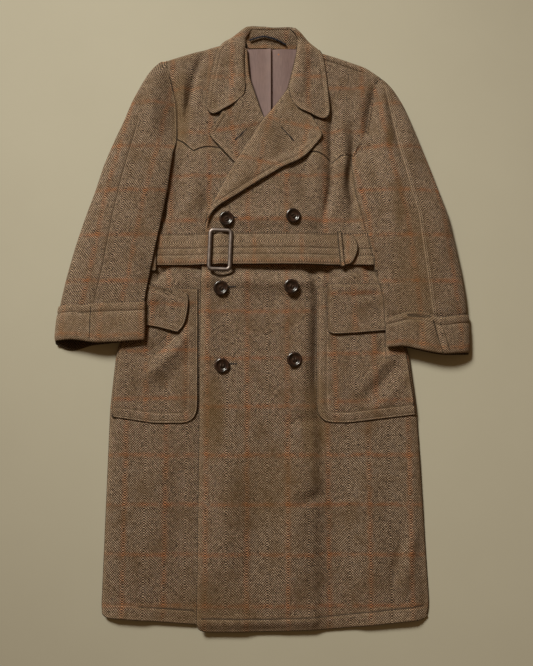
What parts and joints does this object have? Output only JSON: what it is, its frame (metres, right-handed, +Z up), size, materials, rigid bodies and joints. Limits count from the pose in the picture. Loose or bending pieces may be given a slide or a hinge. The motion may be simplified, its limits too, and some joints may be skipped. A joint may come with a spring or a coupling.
{
  "type": "belted overcoat",
  "caption": "Heavy tweed overcoat, double-breasted and belted, buttoned and laid flat, with wide lapels, scalloped yokes, flapped patch pockets and turn-back cuffs.",
  "frame": {"origin": "centre of the coat's outline on the surface that it lies on", "axes": "+Y from the hem to the collar, +X to the wearer's left, +Z up from the surface"},
  "size_m": [0.7866, 1.162, 0.0307],
  "materials": {
    "tweed": "napped brown-grey herringbone with a faint rust overcheck",
    "lining": "smooth mauve satin",
    "hanger": "navy ribbon",
    "button": "polished dark brown",
    "buckle": "satin dark bronze"
  },
  "bodies": {
    "root": {"back": "tweed", "front_right": "tweed", "front_left": "tweed", "yoke_right": "tweed", "yoke_left": "tweed", "lapel_right": "tweed", "lapel_left": "tweed", "collar_leaf_right": "tweed", "collar_leaf_left": "tweed", "collar_fall": "tweed", "collar_stand": "tweed", "neck_facing": "tweed", "sleeve_right_fore": "tweed", "sleeve_right_hind": "tweed", "sleeve_left_fore": "tweed", "sleeve_left_hind": "tweed", "cuff_right": "tweed", "cuff_left": "tweed", "pocket_right": "tweed", "pocket_left": "tweed", "flap_right": "tweed", "flap_left": "tweed", "belt_tail": "tweed", "belt_base": "tweed", "belt_back": "tweed", "belt_keeper": "tweed", "belt_loop_right": "tweed", "belt_loop_left": "tweed", "lining_right": "lining", "lining_left": "lining", "hanger_loop": "hanger", "buckle": "buckle", "button_1": "button", "button_2": "button", "button_3": "button", "button_4": "button", "button_5": "button", "button_6": "button"}
  },
  "joints": []
}
